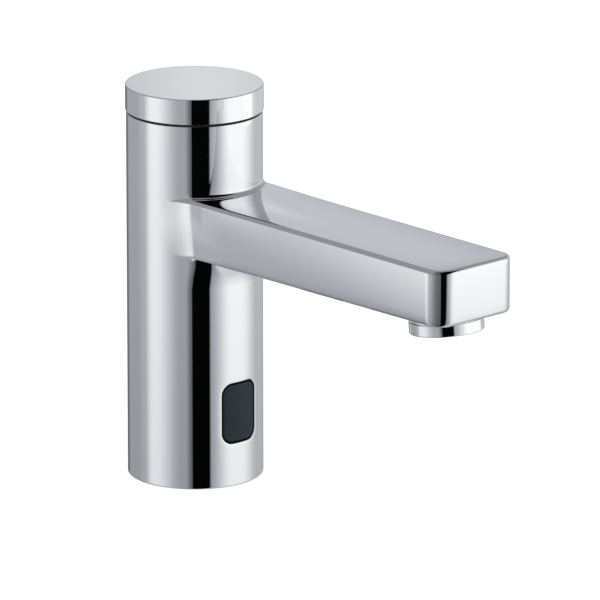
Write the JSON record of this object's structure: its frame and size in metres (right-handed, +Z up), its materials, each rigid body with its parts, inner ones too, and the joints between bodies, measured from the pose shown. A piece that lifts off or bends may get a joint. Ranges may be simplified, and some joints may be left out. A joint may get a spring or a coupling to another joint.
{
  "type": "sensor basin tap",
  "caption": "Chromed hands-free basin tap: round column, flat rectangular spout, infrared sensor window, lift-off battery cap and solenoid valve.",
  "frame": {"origin": "on the deck, on the column's axis, at the mouth of the fixing stud's hole in the foot", "axes": "+Z up along the column, -Y the way the spout points, +X to the right of someone who stands in front of the spout and faces the tap"},
  "size_m": [0.0506, 0.1763, 0.1475],
  "materials": {
    "chrome": "polished chrome plate on cast brass",
    "brass": "machined brass",
    "steel": "turned stainless steel",
    "lens": "glossy infrared-passing dark plastic",
    "black_plastic": "moulded glass-filled plastic",
    "grey_plastic": "moulded plastic",
    "white_plastic": "moulded plastic",
    "rubber": "black rubber",
    "board": "green solder mask",
    "diode": "dark clear resin",
    "copper": "enamelled copper wire",
    "gold_contact": "gold-plated spring metal",
    "battery": "shrink sleeve over cells",
    "lead_sheath": "matt cable sheath"
  },
  "bodies": {
    "tap_body": {"body_casting": "chrome", "base_insert": "brass", "base_screws": "steel", "base_seal_ring": "rubber", "cap_gasket": "rubber", "spout_tube": "brass", "aerator_socket": "chrome", "aerator_seal": "rubber", "sensor_lens": "lens", "sensor_gasket": "rubber", "sensor_housing": "black_plastic", "sensor_back_cover": "black_plastic", "sensor_circuit_board": "board", "infrared_emitter": "diode", "infrared_receiver": "diode", "control_chip": "black_plastic", "sensor_screws": "steel", "lead_grommets": "rubber", "inlet_strainer": "steel", "check_valve_housing": "brass", "check_valve_seat": "white_plastic", "check_valve_spring": "steel", "check_valve_cap": "brass", "riser_pipe": "steel", "valve_manifold": "grey_plastic", "manifold_seal_rings": "rubber", "cross_drill_plug": "steel", "manifold_circlip": "steel", "diaphragm": "rubber", "valve_bonnet": "black_plastic", "bonnet_screws": "steel", "guide_tube": "steel", "guide_tube_clip": "steel", "fixed_core": "steel", "armature_spring": "steel", "coil_bobbin": "black_plastic", "coil_winding": "copper", "solenoid_yoke": "steel", "battery_tray": "black_plastic", "tray_screws": "steel", "battery_contacts": "gold_contact", "battery_pack": "battery", "battery_lead": "lead_sheath", "solenoid_lead": "lead_sheath"},
    "cap": {"top_cap": "chrome", "cap_seal_ring": "rubber"},
    "aerator": {"aerator_housing": "chrome", "aerator_insert": "white_plastic", "aerator_screens": "steel", "flow_regulator": "grey_plastic"},
    "armature": {"solenoid_armature": "steel", "armature_seal": "rubber"},
    "diaphragm_valve": {"diaphragm_carrier": "white_plastic"},
    "check_valve": {"check_valve_poppet": "white_plastic"}
  },
  "joints": [
    {"name": "cap_lift", "type": "slide", "parent": "tap_body", "child": "cap", "axis": [0, 0, 1], "range_m": [0, 0.03]},
    {"name": "aerator_turn", "type": "hinge", "parent": "tap_body", "child": "aerator", "pos_m": [0, -0.1348, 0.0825], "axis": [0, -0.1219, -0.9925], "continuous": true},
    {"name": "armature_stroke", "type": "slide", "parent": "tap_body", "child": "armature", "axis": [0, 0, -1], "range_m": [0, 0.0019], "stiffness_N_per_m": 150, "springref_m": -0.004, "deforming": ["armature_spring"]},
    {"name": "diaphragm_lift", "type": "slide", "parent": "tap_body", "child": "diaphragm_valve", "axis": [0, 0, -1], "range_m": [0, 0.0014]},
    {"name": "check_valve_lift", "type": "slide", "parent": "tap_body", "child": "check_valve", "axis": [0, 0, 1], "range_m": [0, 0.002], "stiffness_N_per_m": 100, "springref_m": -0.003, "deforming": ["check_valve_spring"]}
  ],
  "couplings": [
    {"joint": "diaphragm_lift", "follows": "armature_stroke", "ratio": 0.73}
  ]
}
